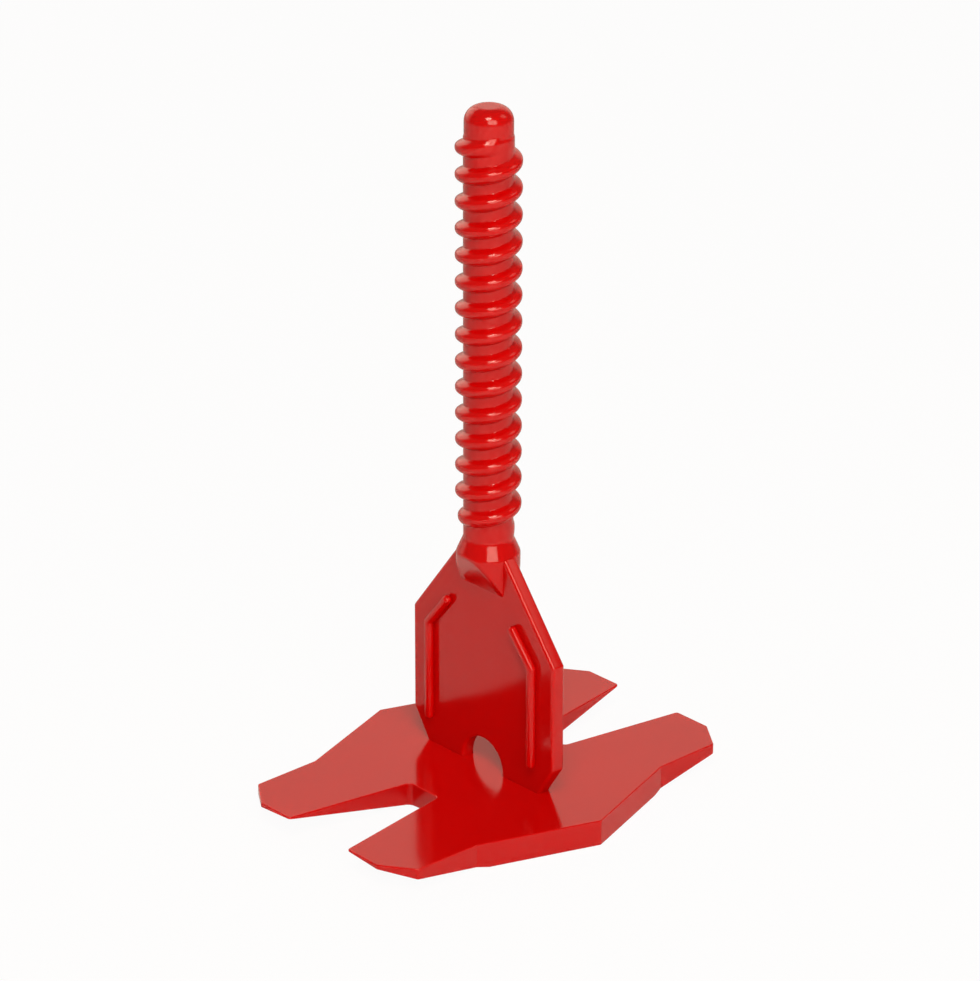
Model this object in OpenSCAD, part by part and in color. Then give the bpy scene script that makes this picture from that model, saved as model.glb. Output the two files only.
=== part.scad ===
// Tile levelling clip, moulded in one piece: a four-lobed foot that goes under the tiles,
// a thin plate that stands in the joint and snaps off, and a threaded stem for a spinning cap.
// X runs along the plate, Y through it, Z up. The foot stands on z = 0.

/* [Foot] */
// Height of the flat seat that carries the tiles, mm
seat_height = 2.75; // [2:0.05:4]
// Distance from the middle to the point of a wing, mm
wing_reach = 16.75; // [14:0.25:20]
// Half width of the foot where the wing turns into a lobe, mm
waist_x = 12.3; // [9:0.1:15]
// Distance of that waist from the plate, mm
waist_y = 12.6; // [9:0.1:15]
// Half width of the foot at the outer corner of a lobe, mm
lobe_corner_x = 12.2; // [9:0.1:15]
// Distance of that corner from the plate, mm
lobe_corner_y = 20.2; // [16:0.1:24]
// Distance from the plate to the end of a lobe, mm
lobe_reach = 22.6; // [18:0.1:28]
// Outer end of a lobe's straight tip, mm from the middle
tip_outer_x = 8.8; // [6:0.1:12]
// Inner end of a lobe's straight tip, mm from the middle
tip_inner_x = 4.4; // [2.5:0.05:6]
// Distance from the plate to the root of the notch between two lobes, mm
notch_root_y = 8.65; // [6:0.05:12]
// Half width of the notch at its root, mm
notch_root_x = 2.1; // [1:0.05:4]
// Rounding of the notch's inner corners, mm
notch_rounding = 0.6; // [0.1:0.1:1]
// Rounding of the foot's other corners, mm
corner_rounding = 0.4; // [0.1:0.1:1]

/* [Underside] */
// Distance from the plate at which the underside starts to rise, mm
relief_start = 6.3; // [4:0.1:12]
// Rise of the underside toward the thin lobe tips, degrees
relief_angle = 10.65; // [0:0.05:10.9]
// Turn of the rising face toward the notch, degrees
relief_turn = 21.5; // [0:0.5:30]

/* [Plate] */
// Thickness of the plate, mm
plate_thickness = 1.6; // [0.8:0.1:2]
// Half width of the plate, mm
plate_half_width = 10.45; // [8:0.05:12]
// Half width left at the snap line on the foot, mm
snap_half_width = 8.3; // [6:0.1:10]
// Height at which the lower corner cuts end, mm
lower_cut_z = 6.4; // [4:0.1:9]
// Height of the upper corners, mm
shoulder_z = 17.3; // [14:0.1:20]
// Half width of the plate under the stem, mm
top_half_width = 3.1; // [2:0.1:4]
// Height of the plate's upper end, mm
plate_top_z = 26.7; // [24:0.1:28]
// Radius of the arched window over the snap line, mm
window_radius = 3.15; // [2:0.05:5]
// Height of the centre of that arch, mm
window_centre_z = 3.2; // [2.75:0.05:5]

/* [Spacer ribs] */
// Radius of the round ribs, mm
rib_radius = 1.1; // [0.5:0.05:1.5]
// Height of the ribs over the plate's face, mm
rib_height = 0.85; // [0.4:0.05:1.2]
// Distance of the upright part of a rib from the middle, mm
rib_x = 6.95; // [5:0.05:8.5]
// Lower end of the ribs, mm
rib_low_z = 6.2; // [5:0.1:9]
// Height of the bend in the ribs, mm
rib_bend_z = 17.1; // [12:0.1:18]
// Distance of the upper end of a rib from the middle, mm
rib_end_x = 5; // [3.5:0.05:6]
// Height of the upper end of a rib, mm
rib_end_z = 19.6; // [17.5:0.1:21]

/* [Stem] */
// Full height of the clip, mm
clip_height = 73; // [66:0.1:80]
// Diameter of the stem between the thread turns, mm
core_diameter = 5; // [4:0.05:6]
// Diameter of the plain tip, mm
tip_diameter = 4.85; // [4:0.05:5.9]
// Rounding of the tip's rim, mm
tip_rounding = 1.5; // [0.2:0.1:1.8]
// Height at which the plain tip starts, mm
tip_start_z = 70; // [60:0.1:71]
// Diameter of the collar at the foot of the stem, mm
collar_diameter = 6.44; // [5.2:0.02:8]
// Height at which the collar's tapered shoulder starts, mm
collar_shoulder_z = 26.55; // [25:0.05:27.5]
// Height at which the collar's shoulder meets the stem, mm
collar_top_z = 28.2; // [27.6:0.05:29]
// Height at which the collar's slanted faces run into the plate, mm
collar_low_z = 22.6; // [20:0.1:24]
// Height at which the slanted faces leave the front and back of the collar, mm
collar_slant_z = 26.65; // [24.5:0.05:28]

/* [Thread] */
// Outer diameter of the thread, mm
thread_diameter = 6.6; // [5.6:0.05:8]
// Rise of the thread in one turn, mm
thread_pitch = 2.75; // [2.2:0.05:4]
// Number of turns, run-out included
thread_turns = 15; // [8:1:16]
// Height of the thread's ridge at the start of the run-out, mm
thread_start_z = 28.6; // [27:0.01:32]
// Direction in which the run-out starts, degrees from the X axis
thread_start_angle = -9; // [-180:1:180]
// Length of the run-out at the lower end, degrees
lower_runout = 353; // [60:1:360]
// Length of the run-out at the upper end, degrees
upper_runout = 110; // [60:1:360]
// Width of the ridge below its crest, at its root, mm
ridge_root = 1.03; // [0.8:0.01:1.2]
// Width of the ridge below its crest, where its rounding starts, mm
ridge_shoulder = 0.56; // [0.3:0.01:0.75]
// Width of the ridge below its crest, near the top of the rounding, mm
ridge_crest = 0.31; // [0.1:0.01:0.5]
// Share of those widths that the steeper upper side of the ridge has
ridge_upper_share = 0.83; // [0.6:0.01:1]

/* [Hidden] */
half_plate = plate_thickness / 2;
core_radius = core_diameter / 2;
collar_radius = collar_diameter / 2;
crest_radius = thread_diameter / 2;
// Depth by which one shape reaches into the next, so that they join
overlap = 0.5;
// Depth of the collar's slanted faces inside the plate
collar_root = 0.1;
// Depth of the thread's root inside the stem
thread_sink = 0.2;
root_radius = core_radius - thread_sink;
// Drop of the ridge's rounded crest, beside its top and where its flanks start
crest_drop = 0.05;
shoulder_drop = 0.23;
// Share of the ridge's height at its very ends, which lie inside the stem
least_share = 0.12;
// The slanted part of a rib is a touch slimmer than the upright part
rib_slimming = 0.03;
// Side of the blocks that cut the underside, larger than the foot
cutter_size = 40;
corner_steps = 5;
turn_steps = 30;
step_angle = 360 / turn_steps;
thread_steps = thread_turns * turn_steps;
slant_rise = (collar_slant_z - collar_low_z) / (collar_radius - half_plate);
$fn = 72;

// Corners of one quarter of the foot and their roundings, from the wing point to the notch root
foot_quarter = [
    [wing_reach, 0, corner_rounding],
    [waist_x, waist_y, corner_rounding],
    [lobe_corner_x, lobe_corner_y, corner_rounding],
    [tip_outer_x, lobe_reach, corner_rounding],
    [tip_inner_x, lobe_reach, corner_rounding],
    [notch_root_x, notch_root_y, notch_rounding]
];
quarter_end = len(foot_quarter) - 1;
foot_half = concat(
    foot_quarter,
    [for (i = [quarter_end : -1 : 0]) [-foot_quarter[i][0], foot_quarter[i][1], foot_quarter[i][2]]]
);
half_end = len(foot_half) - 1;
foot_corners = concat(
    foot_half,
    [for (i = [half_end - 1 : -1 : 1]) [foot_half[i][0], -foot_half[i][1], foot_half[i][2]]]
);

// Arc of points that rounds one corner between its two neighbours
function rounded_corner(before, corner, after, radius) =
    let (
        to_before = (before - corner) / norm(before - corner),
        to_after = (after - corner) / norm(after - corner),
        inward = (to_before + to_after) / norm(to_before + to_after),
        half_angle = acos(to_before * to_after) / 2,
        run = radius / tan(half_angle),
        centre = corner + inward * radius / sin(half_angle),
        first = corner + to_before * run - centre,
        last = corner + to_after * run - centre,
        start = atan2(first[1], first[0]),
        sweep = (atan2(last[1], last[0]) - start + 540) % 360 - 180
    )
    [
        for (step = [0 : corner_steps])
            let (angle = start + sweep * step / corner_steps)
            centre + radius * [cos(angle), sin(angle)]
    ];

function flat(corner) = [corner[0], corner[1]];

corner_count = len(foot_corners);
foot_outline = [
    for (i = [0 : corner_count - 1])
        let (
            before = foot_corners[(i + corner_count - 1) % corner_count],
            after = foot_corners[(i + 1) % corner_count]
        )
        each rounded_corner(flat(before), flat(foot_corners[i]), flat(after), foot_corners[i][2])
];

// Right half of the plate's outline, from the snap line up to the stem
plate_side = [
    [snap_half_width, seat_height - overlap],
    [snap_half_width, seat_height],
    [plate_half_width, lower_cut_z],
    [plate_half_width, shoulder_z],
    [top_half_width, plate_top_z]
];
plate_outline = concat(
    plate_side,
    [for (i = [len(plate_side) - 1 : -1 : 0]) [-plate_side[i][0], plate_side[i][1]]]
);

// Right half of the collar's outline, from its axis at the foot up over the tapered shoulder
collar_side = [
    [0, collar_low_z - 2 * overlap],
    [collar_radius, collar_low_z - 2 * overlap],
    [collar_radius, collar_shoulder_z],
    [core_radius, collar_top_z],
    [0, collar_top_z]
];

// Cross section of the thread ridge: distance along the stem, distance from its axis
ridge_section = [
    [-ridge_root, root_radius],
    [-ridge_shoulder, crest_radius - shoulder_drop],
    [-ridge_crest, crest_radius - crest_drop],
    [0, crest_radius],
    [ridge_crest * ridge_upper_share, crest_radius - crest_drop],
    [ridge_shoulder * ridge_upper_share, crest_radius - shoulder_drop],
    [ridge_root * ridge_upper_share, root_radius]
];
section_size = len(ridge_section);

// Share of the full ridge height at a turning angle; it fades out at both ends
function ridge_share(angle) = max(least_share, min(
    1,
    angle / lower_runout,
    (thread_turns * 360 - angle) / upper_runout
));

// A corner of the ridge section, lifted and turned to its place on the helix
function ridge_point(corner, angle) =
    let (
        radius = root_radius + (corner[1] - root_radius) * ridge_share(angle),
        turn = thread_start_angle + angle,
        height = thread_start_z + thread_pitch * angle / 360 + corner[0]
    )
    [radius * cos(turn), radius * sin(turn), height];

// Flat-topped foot with two wings and four lobes, thin at the lobe tips
module foot() {
    difference() {
        linear_extrude(height = seat_height)
            polygon(foot_outline);
        for (side = [0, 1], face = [0, 1])
            mirror([side, 0, 0])
                mirror([0, face, 0])
                    lobe_relief();
    }
}

// Wedge that takes the underside of one lobe away toward its tip
module lobe_relief() {
    intersection() {
        translate([0, relief_start, 0])
            rotate([0, 0, relief_turn])
                rotate([relief_angle, 0, 0])
                    translate([-cutter_size, 0, -cutter_size])
                        cube([2 * cutter_size, cutter_size, cutter_size]);
        translate([-0.01, 0, -cutter_size / 2])
            cube(cutter_size);
    }
}

// Upright plate with cut corners and the arched window over the snap line
module plate() {
    difference() {
        rotate([90, 0, 0])
            linear_extrude(height = plate_thickness, center = true)
                polygon(plate_outline);
        translate([0, 0, window_centre_z])
            rotate([90, 0, 0])
                cylinder(r = window_radius, h = 2 * plate_thickness, center = true);
        translate([-window_radius, -plate_thickness, seat_height])
            cube([2 * window_radius, 2 * plate_thickness, window_centre_z - seat_height]);
    }
}

// Straight bar with round ends between two points of the plate's face
module round_bar(from, to, radius) {
    run = to - from;
    size = norm(run);
    translate([from[0], 0, from[1]])
        rotate([0, atan2(run[0], run[1]), 0])
            rotate_extrude()
                intersection() {
                    union() {
                        circle(r = radius);
                        translate([0, size])
                            circle(r = radius);
                        translate([-radius, 0])
                            square([2 * radius, size]);
                    }
                    translate([0, -2 * radius])
                        square([2 * radius, size + 4 * radius]);
                }
}

// Bent round ribs near both sides of both faces; they set the joint width
module spacer_ribs() {
    rib_y = half_plate + rib_height - rib_radius;
    for (side = [0, 1], face = [-1, 1])
        translate([0, face * rib_y, 0])
            mirror([side, 0, 0]) {
                round_bar([rib_x, rib_low_z], [rib_x, rib_bend_z], rib_radius);
                round_bar([rib_x, rib_bend_z], [rib_end_x, rib_end_z], rib_radius - rib_slimming);
            }
}

// Collar that carries the round stem over into the flat plate by two slanted faces
module collar() {
    root = half_plate - collar_root;
    reach = collar_radius + overlap;
    low = collar_low_z - slant_rise * collar_root;
    high = collar_low_z + slant_rise * (reach - half_plate);
    intersection() {
        rotate_extrude()
            polygon(collar_side);
        rotate([90, 0, 90])
            linear_extrude(height = 2 * reach, center = true)
                polygon([
                    [-root, low],
                    [root, low],
                    [reach, high],
                    [reach, high + reach],
                    [-reach, high + reach],
                    [-reach, high]
                ]);
    }
}

// Round stem with its slightly slimmer plain tip
module stem() {
    tip_radius = tip_diameter / 2;
    rim_radius = tip_radius - tip_rounding;
    tip_length = clip_height - tip_start_z + overlap;
    translate([0, 0, collar_shoulder_z - overlap])
        cylinder(r = core_radius, h = tip_start_z - collar_shoulder_z + overlap);
    translate([0, 0, tip_start_z - overlap])
        rotate_extrude()
            intersection() {
                union() {
                    square([rim_radius, tip_length]);
                    square([tip_radius, tip_length - tip_rounding]);
                    translate([rim_radius, tip_length - tip_rounding])
                        circle(r = tip_rounding);
                }
                square([tip_radius, tip_length]);
            }
}

// Coarse right-handed thread, swept along a helix with its root sunk into the stem
module thread() {
    points = [
        for (step = [0 : thread_steps], corner = ridge_section)
            ridge_point(corner, step * step_angle)
    ];
    sides = [
        for (step = [0 : thread_steps - 1], i = [0 : section_size - 1])
            let (
                here = step * section_size + i,
                beside = step * section_size + (i + 1) % section_size
            )
            each [
                [here, beside, beside + section_size],
                [here, beside + section_size, here + section_size]
            ]
    ];
    start_cap = [for (i = [section_size - 1 : -1 : 0]) i];
    end_cap = [for (i = [0 : section_size - 1]) thread_steps * section_size + i];
    polyhedron(points, concat([start_cap], sides, [end_cap]), convexity = 20);
}

// The whole clip, one moulded piece
module clip() {
    color([0.78, 0.1, 0.1])
        union() {
            foot();
            plate();
            spacer_ribs();
            collar();
            stem();
            thread();
        }
}

clip();
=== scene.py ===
"""Looks of the tile levelling clip: one glossy red moulding, its studio and its camera.

The clip is worked out in millimetres as closed numpy surfaces: foot, joint plate, spacer ribs and
threaded stem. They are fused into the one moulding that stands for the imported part.
"""

import logging
import math
from dataclasses import dataclass
from enum import Enum

import bpy
import numpy as np
from mathutils import Matrix, Vector


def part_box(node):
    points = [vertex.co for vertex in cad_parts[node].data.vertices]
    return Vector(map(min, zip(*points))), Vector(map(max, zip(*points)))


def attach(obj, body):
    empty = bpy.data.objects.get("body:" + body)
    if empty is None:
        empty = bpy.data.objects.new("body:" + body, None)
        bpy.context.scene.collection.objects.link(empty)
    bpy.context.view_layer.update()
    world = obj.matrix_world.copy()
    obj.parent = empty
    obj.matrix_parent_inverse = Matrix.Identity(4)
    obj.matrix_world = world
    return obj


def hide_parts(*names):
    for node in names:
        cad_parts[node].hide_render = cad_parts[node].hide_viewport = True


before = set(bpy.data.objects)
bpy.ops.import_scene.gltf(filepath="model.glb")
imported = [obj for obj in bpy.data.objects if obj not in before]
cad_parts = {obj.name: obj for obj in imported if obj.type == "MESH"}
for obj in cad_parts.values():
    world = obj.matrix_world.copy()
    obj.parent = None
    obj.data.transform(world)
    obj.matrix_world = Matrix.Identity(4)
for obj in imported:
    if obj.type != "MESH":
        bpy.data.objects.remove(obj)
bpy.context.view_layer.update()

LOG = logging.getLogger("tile_clip")
MILLIMETRE = 0.001
ON_A_LINE = 1e-6
CLIP_NODE = "clip"


class Side(Enum):
    """The end of the plate that a rib stands near, as a sign along X."""

    LEFT = -1
    RIGHT = 1


class Face(Enum):
    """The face of the plate that a rib stands on, as a sign along Y."""

    FRONT = -1
    BACK = 1


@dataclass(frozen=True)
class Shell:
    """A closed surface: its points in millimetres, and its faces as lists of point numbers."""

    name: str
    points: np.ndarray
    faces: list[list[int]]

    def to_object(self) -> bpy.types.Object:
        """Puts the surface into a mesh object at the origin, in metres.

        Returns:
            The new object, linked to the scene.
        """
        mesh = bpy.data.meshes.new(self.name)
        mesh.from_pydata((self.points * MILLIMETRE).tolist(), [], self.faces)
        made = bpy.data.objects.new(self.name, mesh)
        bpy.context.scene.collection.objects.link(made)
        return made


def unit(vectors: np.ndarray) -> np.ndarray:
    """Scales each vector to a length of one.

    Args:
        vectors: One vector, or one in each row.

    Returns:
        The unit vectors, in the shape of the input.
    """
    return vectors / np.linalg.norm(vectors, axis=-1, keepdims=True)


def soft_minimum(first: np.ndarray, second: np.ndarray, blend: float) -> np.ndarray:
    """The smaller of two values, with the corner between them rounded over a width.

    With h = 1/2 + (second - first) / (2 blend), held from 0 to 1, the value is
    second (1 - h) + first h - blend h (1 - h).

    Args:
        first: One surface's values.
        second: The other surface's values.
        blend: Width of the rounding, in the values' unit.

    Returns:
        The rounded minimum, in the shape of the inputs.
    """
    share = np.clip(0.5 + 0.5 * (second - first) / blend, 0.0, 1.0)
    return second * (1.0 - share) + first * share - blend * share * (1.0 - share)


def band_faces(rows: int, columns: int) -> list[list[int]]:
    """Quads between the neighbouring rows of a grid whose columns close into loops.

    Args:
        rows: Number of loops.
        columns: Number of points in each loop.

    Returns:
        One list of four point numbers for each quad, facing outwards for loops that run
        counter-clockwise and rows that climb.
    """
    row, column = np.meshgrid(np.arange(rows - 1), np.arange(columns), indexing="ij")
    here = row * columns + column
    beside = row * columns + (column + 1) % columns
    return np.stack([here, beside, beside + columns, here + columns], axis=-1).reshape(-1, 4).tolist()


def lofted_shell(name: str, loops: np.ndarray) -> Shell:
    """Closes a stack of loops: quads between neighbours and a flat face at both ends.

    Args:
        name: Name of the surface.
        loops: Points as (loop, point of the loop, coordinate).

    Returns:
        The closed surface.
    """
    rows, columns, _ = loops.shape
    first_cap = list(range(columns))[::-1]
    last_cap = list(range((rows - 1) * columns, rows * columns))
    return Shell(name, loops.reshape(-1, 3), [*band_faces(rows, columns), first_cap, last_cap])


def rounded_outline(corners: np.ndarray, radii: np.ndarray, steps: int = 8) -> np.ndarray:
    """Replaces each corner of a closed outline by an arc that touches both of its edges.

    The arc's centre lies on the corner's bisector, radius / sin(half angle) from the corner, and the
    arc starts and ends radius / tan(half angle) along the edges.

    Args:
        corners: Corner points in order, as (corner, 2).
        radii: Radius of the arc at each corner.
        steps: Number of straight steps in each arc.

    Returns:
        The outline's points in order.
    """
    to_before = unit(np.roll(corners, 1, axis=0) - corners)
    to_after = unit(np.roll(corners, -1, axis=0) - corners)
    half_angle = np.arccos(np.clip((to_before * to_after).sum(axis=1), -1.0, 1.0)) / 2.0
    centre = corners + unit(to_before + to_after) * (radii / np.sin(half_angle))[:, None]
    run = (radii / np.tan(half_angle))[:, None]
    first = corners + to_before * run - centre
    last = corners + to_after * run - centre
    start = np.arctan2(first[:, 1], first[:, 0])
    sweep = (np.arctan2(last[:, 1], last[:, 0]) - start + math.pi) % (2.0 * math.pi) - math.pi
    angle = start[:, None] + sweep[:, None] * np.linspace(0.0, 1.0, steps + 1)
    arcs = centre[:, None, :] + radii[:, None, None] * np.stack([np.cos(angle), np.sin(angle)], axis=-1)
    return arcs.reshape(-1, 2)


def split_outline(outline: np.ndarray, values: np.ndarray) -> np.ndarray:
    """Adds a point to a closed outline wherever a value changes its sign between two neighbours.

    Args:
        outline: Points in order, as (point, 2).
        values: The value at each point.

    Returns:
        The outline with the added points, each where the value is zero along its edge.
    """
    ahead = np.roll(values, -1)
    crossing = np.flatnonzero(values * ahead < 0.0)
    share = (values[crossing] / (values[crossing] - ahead[crossing]))[:, None]
    added = outline[crossing] * (1.0 - share) + np.roll(outline, -1, axis=0)[crossing] * share
    return np.insert(outline, crossing + 1, added, axis=0)


def inset(outline: np.ndarray, distance: np.ndarray | float) -> np.ndarray:
    """Moves each point of a counter-clockwise outline inwards, square to both of its edges.

    The move is distance (n1 + n2) / (1 + n1 . n2), n1 and n2 being the edges' inward normals.

    Args:
        outline: Points in order, as (point, 2).
        distance: How far to move, one value or one for each point.

    Returns:
        The moved points.
    """
    ahead = unit(np.roll(outline, -1, axis=0) - outline)
    inward_ahead = np.stack([-ahead[:, 1], ahead[:, 0]], axis=-1)
    inward_behind = np.roll(inward_ahead, 1, axis=0)
    stretch = distance / (1.0 + (inward_ahead * inward_behind).sum(axis=1))
    return outline + (inward_ahead + inward_behind) * stretch[:, None]


def edge_round(steps: int = 4) -> tuple[np.ndarray, np.ndarray]:
    """Quarter round of radius one, from a face to its wall, as inset 1 - sin t and rise 1 - cos t.

    Args:
        steps: Number of straight steps.

    Returns:
        The inset from the wall and the rise from the face, one value for each row.
    """
    turn = np.linspace(0.0, math.pi / 2.0, steps + 1)
    return 1.0 - np.sin(turn), 1.0 - np.cos(turn)


@dataclass(frozen=True)
class Foot:
    """Flat-topped foot with two wings and four lobes; its underside rises to thin lobe tips."""

    wing_reach: float
    lobe_reach: float
    seat_height: float = 2.75
    waist: tuple[float, float] = (12.3, 12.6)
    lobe_corner: tuple[float, float] = (12.2, 20.2)
    tip_outer_x: float = 8.8
    tip_inner_x: float = 4.4
    notch_root: tuple[float, float] = (2.1, 8.65)
    corner_rounding: float = 0.4
    notch_rounding: float = 0.6
    relief_start: float = 6.3
    relief_angle: float = math.radians(10.65)
    relief_turn: float = math.radians(21.5)
    edge_rounding: float = 0.11
    rounding_share: float = 0.4

    def relief_run(self, plan: np.ndarray) -> np.ndarray:
        """Distance past the line where the underside starts to rise; negative where it is flat.

        In each quarter it is (|y| - start) cos(turn) - |x| sin(turn).

        Args:
            plan: Points of the foot's plan, as (point, 2).

        Returns:
            The distance at each point.
        """
        across, along = np.abs(plan).T
        past_start = along - self.relief_start
        return past_start * math.cos(self.relief_turn) - across * math.sin(self.relief_turn)

    def underside(self, plan: np.ndarray) -> np.ndarray:
        """Height of the underside: the relief's run times its slope, and zero on the flat middle.

        Args:
            plan: Points of the foot's plan, as (point, 2).

        Returns:
            The height at each point, in millimetres.
        """
        return np.maximum(self.relief_run(plan), 0.0) * math.tan(self.relief_angle)

    def outline(self) -> np.ndarray:
        """Plan of the foot, counter-clockwise, with a point wherever a crease of the underside ends.

        Returns:
            The outline's points, as (point, 2).
        """
        quarter = np.array([
            self.waist,
            self.lobe_corner,
            (self.tip_outer_x, self.lobe_reach),
            (self.tip_inner_x, self.lobe_reach),
            self.notch_root,
        ])
        radii = np.array([*[self.corner_rounding] * 4, self.notch_rounding])
        half = np.concatenate([[(self.wing_reach, 0.0)], quarter, quarter[::-1] * (-1.0, 1.0)])
        half_radii = np.concatenate([[self.corner_rounding], radii, radii[::-1]])
        outline = rounded_outline(np.concatenate([half, -half]), np.tile(half_radii, 2))
        outline = split_outline(outline, self.relief_run(outline))
        return split_outline(outline, outline[:, 0])

    def shell(self) -> Shell:
        """Loops of the outline, from the underside round the wall to the seat, with rounded edges.

        Each loop is the outline moved inwards by the rounding's inset, at the underside's or the
        seat's height with the rounding's rise. Where the foot is thin, the rounding is a share of its
        thickness. The underside is five flat faces.

        Returns:
            The closed surface.
        """
        outline = self.outline()
        thickness = self.seat_height - self.underside(outline)
        rounding = np.minimum(self.edge_rounding, self.rounding_share * thickness)
        loops = []
        for back, rise in zip(*edge_round()):
            plan = inset(outline, rounding * back)
            loops.append(np.column_stack([plan, self.underside(plan) + rounding * rise]))
        for back, rise in zip(*(profile[::-1] for profile in edge_round())):
            plan = inset(outline, rounding * back)
            loops.append(np.column_stack([plan, self.seat_height - rounding * rise]))
        shell = lofted_shell("foot", np.array(loops))
        middle = np.array([(0.0, self.relief_start, 0.0), (0.0, -self.relief_start, 0.0)])
        faces = [face for face in shell.faces if face != list(range(len(outline)))[::-1]]
        points = np.concatenate([shell.points, middle])
        return Shell(shell.name, points, [*faces, *self.underside_faces(outline, len(shell.points))])

    def underside_faces(self, outline: np.ndarray, middle: int) -> list[list[int]]:
        """Five flat faces of the underside: the middle one and one under each lobe.

        Args:
            outline: Points of the foot's plan.
            middle: Number of the first of the two points where the creases meet.

        Returns:
            The faces, facing down.
        """
        creases = np.flatnonzero(np.abs(self.relief_run(outline)) < ON_A_LINE)
        roots = np.flatnonzero(np.abs(outline[:, 0]) < ON_A_LINE)
        right_back, left_back, left_front, right_front = creases.tolist()
        back_root = roots[outline[roots, 1] > 0.0][0]
        front_root = roots[outline[roots, 1] < 0.0][0]
        count = len(outline)
        wing_right = [*range(right_front, count), *range(0, right_back + 1)]
        wing_left = list(range(left_back, left_front + 1))
        faces = [
            [*wing_right, middle, *wing_left, middle + 1],
            [*range(right_back, back_root + 1), middle],
            [*range(back_root, left_back + 1), middle],
            [*range(left_front, front_root + 1), middle + 1],
            [*range(front_root, right_front + 1), middle + 1],
        ]
        return [face[::-1] for face in faces]


@dataclass(frozen=True)
class JointPlate:
    """Thin upright plate with cut corners and an arched window over the snap line."""

    seat_height: float
    thickness: float = 1.6
    half_width: float = 10.45
    snap_half_width: float = 8.4
    sink: float = 1.3
    lower_cut_z: float = 5.9
    shoulder_z: float = 17.3
    top_half_width: float = 3.2
    top_z: float = 26.7
    window_radius: float = 2.87
    window_centre_z: float = 3.0
    corner_rounding: float = 0.4
    edge_rounding: float = 0.36
    arch_flat: float = 0.01
    arc_steps: int = 12

    def outline(self) -> np.ndarray:
        """Outline in X and Z, counter-clockwise from the front, with the window cut from below.

        The window's arch is the rounding of its two upper corners, which leaves a tiny flat between
        them.

        Returns:
            The outline's points, as (point, 2).
        """
        low = self.seat_height - self.sink
        window_top = self.window_centre_z + self.window_radius
        side = np.array([
            (self.window_radius, window_top),
            (self.window_radius, low),
            (self.snap_half_width, low),
            (self.snap_half_width, self.seat_height),
            (self.half_width, self.lower_cut_z),
            (self.half_width, self.shoulder_z),
            (self.top_half_width, self.top_z),
        ])
        radii = np.full(len(side), self.corner_rounding)
        radii[0] = self.window_radius - self.arch_flat
        corners = np.concatenate([side, side[::-1] * (-1.0, 1.0)])
        return rounded_outline(corners, np.concatenate([radii, radii[::-1]]), self.arc_steps)

    def shell(self) -> Shell:
        """The outline carried through the thickness, drawn in by a quarter round at both faces.

        Returns:
            The closed surface.
        """
        outline = self.outline()
        half = self.thickness / 2.0
        back, rise = edge_round()
        shares = np.concatenate([back, back[::-1]])
        depth = half - self.edge_rounding * rise
        depths = np.concatenate([-depth, depth[::-1]])
        plans = np.array([inset(outline, self.edge_rounding * share) for share in shares])
        across = np.broadcast_to(-depths[:, None], plans.shape[:2])
        return lofted_shell("joint_plate", np.stack([plans[..., 0], across, plans[..., 1]], axis=-1))


@dataclass(frozen=True)
class SpacerRib:
    """Round rib with a bend and round ends, sunk into a face of the plate."""

    side: Side
    face: Face
    plate_thickness: float
    radius: float = 0.48
    height: float = 0.85
    upright_x: float = 7.62
    low_z: float = 6.0
    bend_z: float = 16.52
    end_x: float = 4.9
    end_z: float = 19.77
    row_step: float = 0.5
    cap_rows: int = 9
    cap_hole: float = 0.03
    columns: int = 56

    def shell(self) -> Shell:
        """A circle carried along the bent line, shrinking to a round at both ends.

        The circle has the radius r on the line, and sqrt(r^2 - d^2) at a distance d past an end. At
        the bend it lies on the bisector, stretched by 1 / cos(half bend).

        Returns:
            The closed surface.
        """
        start = np.array((self.upright_x, self.low_z))
        bend = np.array((self.upright_x, self.bend_z))
        end = np.array((self.end_x, self.end_z))
        first, second = unit(bend - start), unit(end - bend)
        middle = unit(first + second)
        past = self.radius * np.sin(np.linspace(math.pi / 2.0 - self.cap_hole, 0.0, self.cap_rows))
        lower = start - first * past[:, None]
        upper = end + second * past[::-1, None]
        rise_rows = round((self.bend_z - self.low_z) / self.row_step)
        lean_rows = round((self.end_z - self.bend_z) / self.row_step)
        rise = np.linspace(0.0, 1.0, rise_rows + 1)[1:-1, None]
        lean = np.linspace(0.0, 1.0, lean_rows + 1)[1:-1, None]
        straight = np.concatenate([start + (bend - start) * rise, [bend], bend + (end - bend) * lean])
        line = np.concatenate([lower, straight, upper])
        turning = len(lower) + len(rise)
        directions = np.tile(second, (len(line), 1))
        directions[:turning] = first
        directions[turning] = middle
        cap = np.sqrt(self.radius**2 - past**2)
        radii = np.concatenate([cap, np.full(len(straight), self.radius), cap[::-1]])
        stretch = np.ones(len(line))
        stretch[turning] = 1.0 / (middle @ first)
        normal = np.stack([directions[:, 1], -directions[:, 0]], axis=-1) * stretch[:, None]
        turn = np.linspace(0.0, 2.0 * math.pi, self.columns, endpoint=False)
        aside = radii[:, None] * np.cos(turn)
        plan = line[:, None, :] + aside[..., None] * normal[:, None, :]
        axis_depth = self.face.value * (self.plate_thickness / 2.0 + self.height - self.radius)
        depth = axis_depth + radii[:, None] * np.sin(turn)
        loops = np.stack([self.side.value * plan[..., 0], depth, plan[..., 1]], axis=-1)
        if self.side is Side.LEFT:
            loops = loops[:, ::-1]
        return lofted_shell(f"rib_{self.side.name}_{self.face.name}".lower(), loops)


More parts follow.
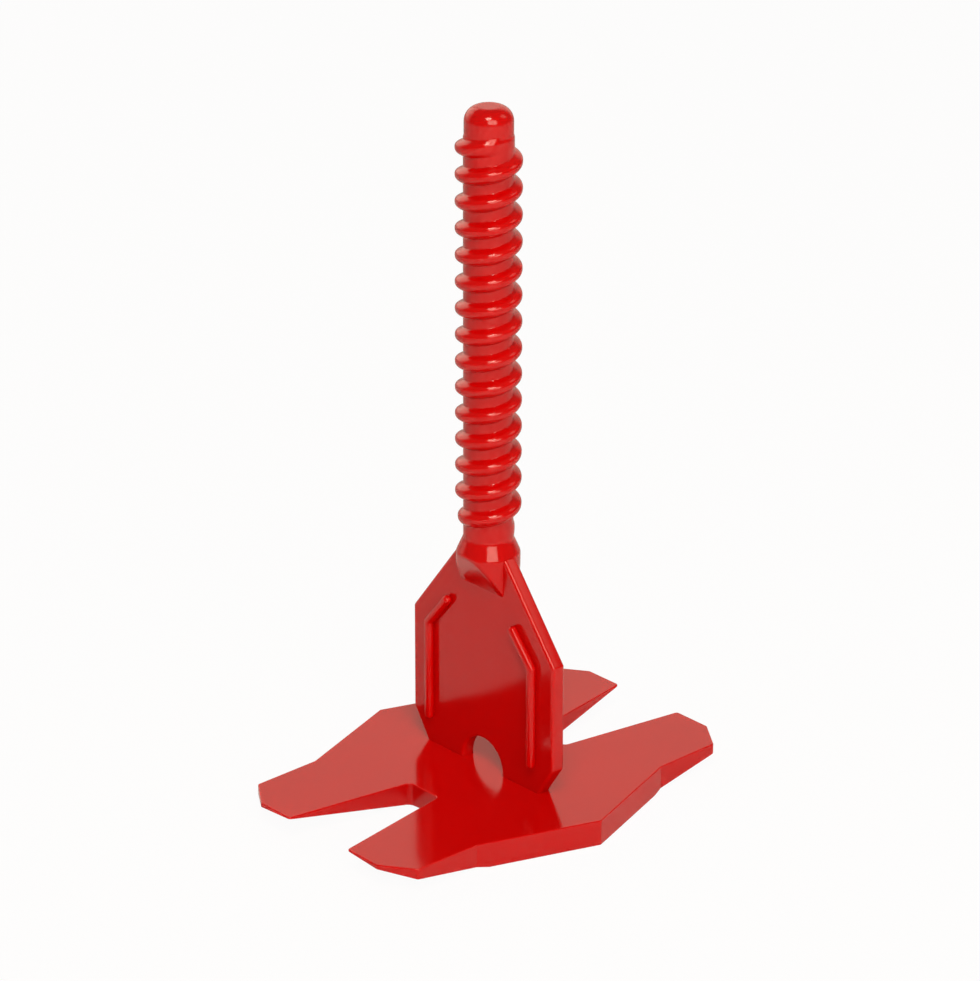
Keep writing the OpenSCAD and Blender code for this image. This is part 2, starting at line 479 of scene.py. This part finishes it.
@dataclass(frozen=True)
class ThreadedStem:
    """Round stem: collar with slanted faces, neck, coarse right-hand thread and plain tip."""

    top_z: float
    plate_thickness: float
    core_radius: float = 2.5
    tip_radius: float = 2.425
    tip_rounding: float = 1.5
    tip_start_z: float = 69.9
    tip_taper: float = 0.3
    collar_radius: float = 3.22
    collar_low_z: float = 22.1
    shoulder_low_z: float = 26.55
    shoulder_top_z: float = 28.2
    shoulder_blend: float = 0.08
    neck_blend: float = 0.12
    slant_low_z: float = 22.6
    slant_rise: float = 1.7
    slant_blend: float = 0.22
    slant_facing: float = 1e-3
    crest: float = 0.80
    crest_fullness: float = 2.65
    flank_fall: float = 1.25
    ridge_lower_width: float = 0.95
    ridge_upper_width: float = 0.79
    pitch: float = 2.75
    turns: float = 15.0
    thread_start_z: float = 28.6
    thread_start_turn: float = -9.0 / 360.0
    lower_runout: float = 353.0 / 360.0
    upper_runout: float = 110.0 / 360.0
    row_step: float = 0.08
    rim_rows: int = 12
    columns: int = 88

    def ridge(self, turn: np.ndarray, height: np.ndarray) -> np.ndarray:
        """Height of the thread's ridge over the core.

        The ridge's crest climbs one pitch a turn. At a distance d along the stem from the nearest pass
        its height is crest (1 - |d / width|^fullness)^fall, the width being smaller above the crest
        than below it, times a share that grows evenly over the lower run-out and falls evenly over
        the upper one.

        Args:
            turn: Direction from the axis, in turns.
            height: Height on the stem, in millimetres.

        Returns:
            The ridge's height, in millimetres.
        """
        climb = (height - self.thread_start_z) / self.pitch
        own = turn - self.thread_start_turn
        along = own + np.round(climb - own)
        distance = (climb - along) * self.pitch
        width = np.where(distance > 0.0, self.ridge_upper_width, self.ridge_lower_width)
        begun = along / self.lower_runout
        remaining = (self.turns - along) / self.upper_runout
        share = np.clip(np.minimum(begun, remaining), 0.0, 1.0)
        profile = np.clip(1.0 - np.abs(distance / width) ** self.crest_fullness, 0.0, None)
        return self.crest * share * profile**self.flank_fall

    def radius(self, turn: np.ndarray, height: np.ndarray) -> np.ndarray:
        """Distance of the surface from the axis.

        The collar's shoulder is a cone, blended softly into the collar below and the neck above. The
        slanted faces keep |y| under half the plate plus the height over their foot divided by their
        rise.

        Args:
            turn: Direction from the axis, in turns.
            height: Height on the stem, in millimetres.

        Returns:
            The radius, in millimetres.
        """
        slim = np.clip((height - self.tip_start_z) / self.tip_taper, 0.0, 1.0)
        core = self.core_radius + (self.tip_radius - self.core_radius) * slim
        fall = (self.shoulder_top_z - height) / (self.shoulder_top_z - self.shoulder_low_z)
        cone = core + (self.collar_radius - core) * fall
        shoulder = soft_minimum(np.full_like(cone, self.collar_radius), cone, self.shoulder_blend)
        collar = -soft_minimum(-core, -shoulder, self.neck_blend)
        slant = self.plate_thickness / 2.0 + (height - self.slant_low_z) / self.slant_rise
        facing = np.maximum(np.abs(np.sin(2.0 * math.pi * turn)), self.slant_facing)
        return soft_minimum(collar, slant / facing, self.slant_blend) + self.ridge(turn, height)

    def shell(self) -> Shell:
        """Loops round the axis from the collar's foot to the tip, then over the tip's rounded rim.

        Returns:
            The closed surface.
        """
        wall_top = self.top_z - self.tip_rounding
        rows = round((wall_top - self.collar_low_z) / self.row_step)
        turn = np.linspace(0.0, 1.0, self.columns, endpoint=False)[None, :]
        height = np.linspace(self.collar_low_z, wall_top, rows)[:, None]
        wall = self.radius(turn, height)
        rim = np.linspace(0.0, math.pi / 2.0, self.rim_rows + 1)[1:, None]
        rim_radius = self.tip_radius - self.tip_rounding * (1.0 - np.cos(rim)) + 0.0 * turn
        rim_height = wall_top + self.tip_rounding * np.sin(rim)
        radius = np.concatenate([wall, rim_radius])
        heights = np.broadcast_to(np.concatenate([height, rim_height]), radius.shape)
        angle = 2.0 * math.pi * turn
        loops = np.stack([radius * np.cos(angle), radius * np.sin(angle), heights], axis=-1)
        return lofted_shell("stem", loops)


@dataclass(frozen=True)
class GlossyPlastic:
    """Finish of the moulding: bright red plastic, smooth from the mould."""

    name: str = "red_plastic"
    bright: tuple[float, float, float] = (0.63, 0.0012, 0.0012)
    deep: tuple[float, float, float] = (0.57, 0.0008, 0.0008)
    roughness: float = 0.10
    roughness_spread: float = 0.04
    ripple: float = 0.02
    ripple_depth: float = 0.02 * MILLIMETRE
    ripple_size: float = 0.9 * MILLIMETRE
    flow_size: float = 18.0 * MILLIMETRE
    scuff_size: float = 6.0 * MILLIMETRE
    refraction: float = 1.5
    glow: float = 0.6
    glow_reach: tuple[float, float, float] = (1.0, 0.15, 0.1)
    glow_depth: float = 0.8 * MILLIMETRE

    def material(self, marks: bpy.types.NodeTree) -> bpy.types.Material:
        """Builds the material from the moulding marks.

        Args:
            marks: Node group that puts out flow, gloss and ripple over the surface.

        Returns:
            The finished material.
        """
        material = bpy.data.materials.new(self.name)
        material.use_nodes = True
        nodes, links = material.node_tree.nodes, material.node_tree.links
        nodes.clear()
        place = nodes.new("ShaderNodeTexCoord")
        group = nodes.new("ShaderNodeGroup")
        group.node_tree = marks
        group.inputs["Flow size"].default_value = self.flow_size
        group.inputs["Ripple size"].default_value = self.ripple_size
        group.inputs["Scuff size"].default_value = self.scuff_size
        tint = nodes.new("ShaderNodeMix")
        tint.data_type = "RGBA"
        tint.inputs["A"].default_value = (*self.bright, 1.0)
        tint.inputs["B"].default_value = (*self.deep, 1.0)
        gloss = nodes.new("ShaderNodeMapRange")
        gloss.inputs["To Min"].default_value = self.roughness
        gloss.inputs["To Max"].default_value = self.roughness + self.roughness_spread
        bump = nodes.new("ShaderNodeBump")
        bump.inputs["Strength"].default_value = self.ripple
        bump.inputs["Distance"].default_value = self.ripple_depth
        shader = nodes.new("ShaderNodeBsdfPrincipled")
        shader.inputs["IOR"].default_value = self.refraction
        shader.inputs["Subsurface Weight"].default_value = self.glow
        shader.inputs["Subsurface Radius"].default_value = self.glow_reach
        shader.inputs["Subsurface Scale"].default_value = self.glow_depth
        output = nodes.new("ShaderNodeOutputMaterial")
        links.new(place.outputs["Object"], group.inputs["Place"])
        links.new(group.outputs["Flow"], tint.inputs["Factor"])
        links.new(group.outputs["Gloss loss"], gloss.inputs["Value"])
        links.new(group.outputs["Ripple"], bump.inputs["Height"])
        links.new(tint.outputs["Result"], shader.inputs["Base Color"])
        links.new(gloss.outputs["Result"], shader.inputs["Roughness"])
        links.new(bump.outputs["Normal"], shader.inputs["Normal"])
        links.new(shader.outputs["BSDF"], output.inputs["Surface"])
        return material


def moulding_marks() -> bpy.types.NodeTree:
    """Node group for what moulding leaves on a surface: flow tint, fine ripple and gloss loss.

    Returns:
        The group, with sizes in metres as inputs and values from 0 to 1 as outputs.
    """
    group = bpy.data.node_groups.new("moulding_marks", "ShaderNodeTree")
    face = group.interface
    face.new_socket("Place", in_out="INPUT", socket_type="NodeSocketVector")
    for name in ("Flow size", "Ripple size", "Scuff size"):
        face.new_socket(name, in_out="INPUT", socket_type="NodeSocketFloat")
    for name in ("Flow", "Gloss loss", "Ripple"):
        face.new_socket(name, in_out="OUTPUT", socket_type="NodeSocketFloat")
    nodes, links = group.nodes, group.links
    entry = nodes.new("NodeGroupInput")
    leave = nodes.new("NodeGroupOutput")
    marks = (
        ("Flow size", "Flow", 2.0),
        ("Ripple size", "Ripple", 1.0),
        ("Scuff size", "Gloss loss", 4.0),
    )
    for size, result, detail in marks:
        scale = nodes.new("ShaderNodeMath")
        scale.operation = "DIVIDE"
        scale.inputs[0].default_value = 1.0
        noise = nodes.new("ShaderNodeTexNoise")
        noise.inputs["Detail"].default_value = detail
        links.new(entry.outputs[size], scale.inputs[1])
        links.new(scale.outputs["Value"], noise.inputs["Scale"])
        links.new(entry.outputs["Place"], noise.inputs["Vector"])
        links.new(noise.outputs["Fac"], leave.inputs[result])
    return group


@dataclass(frozen=True)
class Clip:
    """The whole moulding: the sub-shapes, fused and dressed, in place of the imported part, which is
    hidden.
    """

    foot: Foot
    plate: JointPlate
    ribs: tuple[SpacerRib, ...]
    stem: ThreadedStem
    finish: GlossyPlastic
    smooth_angle: float = math.radians(32.0)

    def fused_mesh(self) -> bpy.types.Mesh:
        """Joins the closed surfaces into one by Boolean union.

        Returns:
            One closed mesh, in metres.
        """
        shapes = (self.foot, self.plate, *self.ribs, self.stem)
        base, *others = [shape.shell().to_object() for shape in shapes]
        for other in others:
            union = base.modifiers.new(other.name, "BOOLEAN")
            union.operation = "UNION"
            union.solver = "MANIFOLD"
            union.object = other
        evaluated = base.evaluated_get(bpy.context.evaluated_depsgraph_get())
        mesh = bpy.data.meshes.new_from_object(evaluated)
        for used in (base, *others):
            bpy.data.objects.remove(used)
        return mesh

    def build(self, marks: bpy.types.NodeTree) -> bpy.types.Object:
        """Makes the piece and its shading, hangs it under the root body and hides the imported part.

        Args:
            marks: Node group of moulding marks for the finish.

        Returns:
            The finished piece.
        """
        mesh = self.fused_mesh()
        mesh.name = "moulding"
        mesh.shade_smooth()
        mesh.set_sharp_from_angle(angle=self.smooth_angle)
        piece = bpy.data.objects.new("moulding", mesh)
        bpy.context.scene.collection.objects.link(piece)
        mesh.materials.clear()
        mesh.materials.append(self.finish.material(marks))
        flat = piece.modifiers.new("flat_faces", "WEIGHTED_NORMAL")
        flat.keep_sharp = True
        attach(piece, "root")
        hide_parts(CLIP_NODE)
        return piece


def direction(azimuth: float, elevation: float) -> Vector:
    """Unit vector from the clip towards a place.

    Args:
        azimuth: Angle from -Y towards +X.
        elevation: Angle over the floor.

    Returns:
        (sin azimuth cos elevation, -cos azimuth cos elevation, sin elevation).
    """
    level = math.cos(elevation)
    return Vector((math.sin(azimuth) * level, -math.cos(azimuth) * level, math.sin(elevation)))


@dataclass(frozen=True)
class PhotoCamera:
    """Camera of the photograph: a long lens a little above the clip, to the right of its front."""

    azimuth: float = math.radians(47.712)
    elevation: float = math.radians(23.465)
    roll: float = math.radians(0.098)
    distance: float = 439.13
    target: tuple[float, float, float] = (0.112, 0.124, 33.008)
    lens: float = 163.09
    sensor: float = 36.0
    near: float = 0.01
    far: float = 20.0

    def build(self) -> bpy.types.Object:
        """Makes the camera and hands it to the scene.

        Returns:
            The camera.
        """
        back = direction(self.azimuth, self.elevation)
        data = bpy.data.cameras.new("photo_camera")
        data.lens = self.lens
        data.sensor_width = self.sensor
        data.sensor_fit = "HORIZONTAL"
        data.clip_start = self.near
        data.clip_end = self.far
        camera = bpy.data.objects.new("photo_camera", data)
        turned = back.to_track_quat("Z", "Y").to_matrix() @ Matrix.Rotation(self.roll, 3, "Z")
        place = (Vector(self.target) + back * self.distance) * MILLIMETRE
        camera.matrix_world = Matrix.LocRotScale(place, turned, None)
        bpy.context.scene.collection.objects.link(camera)
        bpy.context.scene.camera = camera
        return camera


@dataclass(frozen=True)
class Softbox:
    """Flat area light aimed at the stem, placed as the camera is, by azimuth and elevation."""

    name: str
    azimuth: float
    elevation: float
    width: float
    height: float
    power: float
    colour: tuple[float, float, float] = (1.0, 0.81, 0.66)
    distance: float = 0.6
    aim: tuple[float, float, float] = (0.0, 0.0, 0.035)

    def build(self) -> bpy.types.Object:
        """Makes the light.

        Returns:
            The light.
        """
        data = bpy.data.lights.new(self.name, "AREA")
        data.shape = "RECTANGLE"
        data.size = self.width
        data.size_y = self.height
        data.energy = self.power
        data.color = self.colour
        back = direction(self.azimuth, self.elevation)
        light = bpy.data.objects.new(self.name, data)
        light.matrix_world = Matrix.LocRotScale(
            Vector(self.aim) + back * self.distance, back.to_track_quat("Z", "Y"), None
        )
        bpy.context.scene.collection.objects.link(light)
        return light


@dataclass(frozen=True)
class Studio:
    """White floor and soft light: a pale backdrop to the left, a dim room and four softboxes."""

    floor_size: float = 3.0
    floor_steps: int = 8
    floor_colour: tuple[float, float, float] = (0.86, 0.86, 0.86)
    white_share: float = 0.95
    mirrored_share: float = 0.2
    mirrored_white: float = 0.65
    backdrop: float = 1.0
    backdrop_colour: tuple[float, float, float] = (1.0, 0.82, 0.68)
    backdrop_azimuth: float = math.radians(245.0)
    backdrop_edge: tuple[float, float] = (0.4, 0.66)
    backdrop_rise: tuple[float, float] = (math.radians(28.0), math.radians(50.0))
    room: float = 0.15
    softboxes: tuple[Softbox, ...] = (
        Softbox("key_softbox", math.radians(64.0), math.radians(28.0), 0.4, 0.32, 1.9),
        Softbox("key_core", math.radians(46.0), math.radians(56.0), 0.2, 0.2, 1.5),
        Softbox("left_softbox", math.radians(-95.0), math.radians(25.0), 0.4, 0.4, 0.45),
        Softbox("side_softbox", math.radians(143.0), math.radians(42.0), 0.2, 0.24, 0.2),
    )

    def floor(self) -> bpy.types.Object:
        """Flat square under the clip, in steps of an even grid.

        Returns:
            The floor.
        """
        half = self.floor_size / 2.0
        lines = self.floor_steps + 1
        marks = np.linspace(-half, half, lines)
        across, along = np.meshgrid(marks, marks)
        points = np.stack([across, along, np.zeros_like(across)], axis=-1).reshape(-1, 3)
        number = np.arange(self.floor_steps)
        row, column = np.meshgrid(number, number, indexing="ij")
        corner = row * lines + column
        above = corner + lines
        quads = np.stack([corner, corner + 1, above + 1, above], axis=-1).reshape(-1, 4)
        mesh = bpy.data.meshes.new("floor")
        mesh.from_pydata(points.tolist(), [], quads.tolist())
        floor = bpy.data.objects.new("floor", mesh)
        bpy.context.scene.collection.objects.link(floor)
        mesh.materials.append(self.floor_material())
        return floor

    def floor_material(self) -> bpy.types.Material:
        """White paper: it scatters light, shows as white with a faint shadow, and mirrors greyer.

        Returns:
            The material.
        """
        material = bpy.data.materials.new("white_paper")
        material.use_nodes = True
        nodes, links = material.node_tree.nodes, material.node_tree.links
        nodes.clear()
        path = nodes.new("ShaderNodeLightPath")
        strength = nodes.new("ShaderNodeMapRange")
        strength.inputs["To Min"].default_value = self.mirrored_white
        strength.inputs["To Max"].default_value = 1.0
        limit = nodes.new("ShaderNodeMapRange")
        limit.inputs["To Min"].default_value = self.mirrored_share
        limit.inputs["To Max"].default_value = self.white_share
        paper = nodes.new("ShaderNodeBsdfDiffuse")
        paper.inputs["Color"].default_value = (*self.floor_colour, 1.0)
        white = nodes.new("ShaderNodeEmission")
        mix = nodes.new("ShaderNodeMixShader")
        output = nodes.new("ShaderNodeOutputMaterial")
        share = nodes.new("ShaderNodeMath")
        share.operation = "MULTIPLY"
        links.new(path.outputs["Is Camera Ray"], strength.inputs["Value"])
        links.new(path.outputs["Is Camera Ray"], limit.inputs["Value"])
        links.new(strength.outputs["Result"], white.inputs["Strength"])
        links.new(seen_rays(material.node_tree, path), share.inputs[0])
        links.new(limit.outputs["Result"], share.inputs[1])
        links.new(share.outputs["Value"], mix.inputs["Fac"])
        links.new(paper.outputs["BSDF"], mix.inputs[1])
        links.new(white.outputs["Emission"], mix.inputs[2])
        links.new(mix.outputs["Shader"], output.inputs["Surface"])
        return material

    def world(self) -> bpy.types.World:
        """Soft, warm light from a pale backdrop and a dim room; the camera sees both as white.

        The backdrop fades out over a range of its side, the cosine to its azimuth, and over a range
        of elevation.

        Returns:
            The world.
        """
        world = bpy.data.worlds.new("studio")
        world.use_nodes = True
        nodes, links = world.node_tree.nodes, world.node_tree.links
        nodes.clear()
        place = nodes.new("ShaderNodeTexCoord")
        split = nodes.new("ShaderNodeSeparateXYZ")
        side = nodes.new("ShaderNodeVectorMath")
        side.operation = "DOT_PRODUCT"
        side.inputs[1].default_value = direction(self.backdrop_azimuth, 0.0)
        reach = nodes.new("ShaderNodeMapRange")
        reach.interpolation_type = "SMOOTHSTEP"
        reach.inputs["From Min"].default_value = self.backdrop_edge[0]
        reach.inputs["From Max"].default_value = self.backdrop_edge[1]
        rise = nodes.new("ShaderNodeMapRange")
        rise.interpolation_type = "SMOOTHSTEP"
        rise.inputs["From Min"].default_value = math.sin(self.backdrop_rise[0])
        rise.inputs["From Max"].default_value = math.sin(self.backdrop_rise[1])
        rise.inputs["To Min"].default_value = self.backdrop - self.room
        rise.inputs["To Max"].default_value = 0.0
        level = nodes.new("ShaderNodeMath")
        level.operation = "MULTIPLY_ADD"
        level.inputs[2].default_value = self.room
        path = nodes.new("ShaderNodeLightPath")
        seen = nodes.new("ShaderNodeMix")
        seen.inputs["B"].default_value = 1.0
        hue = nodes.new("ShaderNodeMix")
        hue.data_type = "RGBA"
        hue.inputs["A"].default_value = (*self.backdrop_colour, 1.0)
        hue.inputs["B"].default_value = (1.0, 1.0, 1.0, 1.0)
        light = nodes.new("ShaderNodeBackground")
        output = nodes.new("ShaderNodeOutputWorld")
        links.new(place.outputs["Generated"], split.inputs["Vector"])
        links.new(place.outputs["Generated"], side.inputs[0])
        links.new(side.outputs["Value"], reach.inputs["Value"])
        links.new(split.outputs["Z"], rise.inputs["Value"])
        links.new(reach.outputs["Result"], level.inputs[0])
        links.new(rise.outputs["Result"], level.inputs[1])
        links.new(path.outputs["Is Camera Ray"], seen.inputs["Factor"])
        links.new(level.outputs["Value"], seen.inputs["A"])
        links.new(seen.outputs["Result"], light.inputs["Strength"])
        links.new(path.outputs["Is Camera Ray"], hue.inputs["Factor"])
        links.new(hue.outputs["Result"], light.inputs["Color"])
        links.new(light.outputs["Background"], output.inputs["Surface"])
        bpy.context.scene.world = world
        return world

    def build(self) -> None:
        """Sets up floor, world and lights, and the plain view transform."""
        self.floor()
        self.world()
        for softbox in self.softboxes:
            softbox.build()
        bpy.context.scene.view_settings.view_transform = "Standard"


def seen_rays(tree: bpy.types.NodeTree, path: bpy.types.Node) -> bpy.types.NodeSocket:
    """Socket that is 1 for camera, glossy and transmission rays, and 0 for rays that light things.

    Args:
        tree: The material's own node tree.
        path: The tree's Light Path node.

    Returns:
        The socket.
    """
    total = path.outputs["Is Camera Ray"]
    for name in ("Is Glossy Ray", "Is Transmission Ray"):
        add = tree.nodes.new("ShaderNodeMath")
        add.operation = "ADD"
        add.use_clamp = True
        tree.links.new(total, add.inputs[0])
        tree.links.new(path.outputs[name], add.inputs[1])
        total = add.outputs["Value"]
    return total


def main() -> None:
    """Builds the clip, the studio and the camera, and logs the clip's face count and the camera's
    place.
    """
    logging.basicConfig(level=logging.INFO, format="%(name)s: %(message)s")
    low, high = (np.array(corner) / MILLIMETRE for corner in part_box(CLIP_NODE))
    foot = Foot(wing_reach=float(high[0] - low[0]) / 2.0, lobe_reach=float(high[1] - low[1]) / 2.0)
    plate = JointPlate(seat_height=foot.seat_height)
    ribs = tuple(SpacerRib(side, face, plate.thickness) for side in Side for face in Face)
    stem = ThreadedStem(top_z=float(high[2]), plate_thickness=plate.thickness)
    clip = Clip(foot, plate, ribs, stem, GlossyPlastic())
    piece = clip.build(moulding_marks())
    LOG.info("%s: %d faces", piece.name, len(piece.data.polygons))
    Studio().build()
    camera = PhotoCamera().build()
    LOG.info("camera at %s", tuple(round(value, 4) for value in camera.location))


if __name__ == "__main__":
    main()
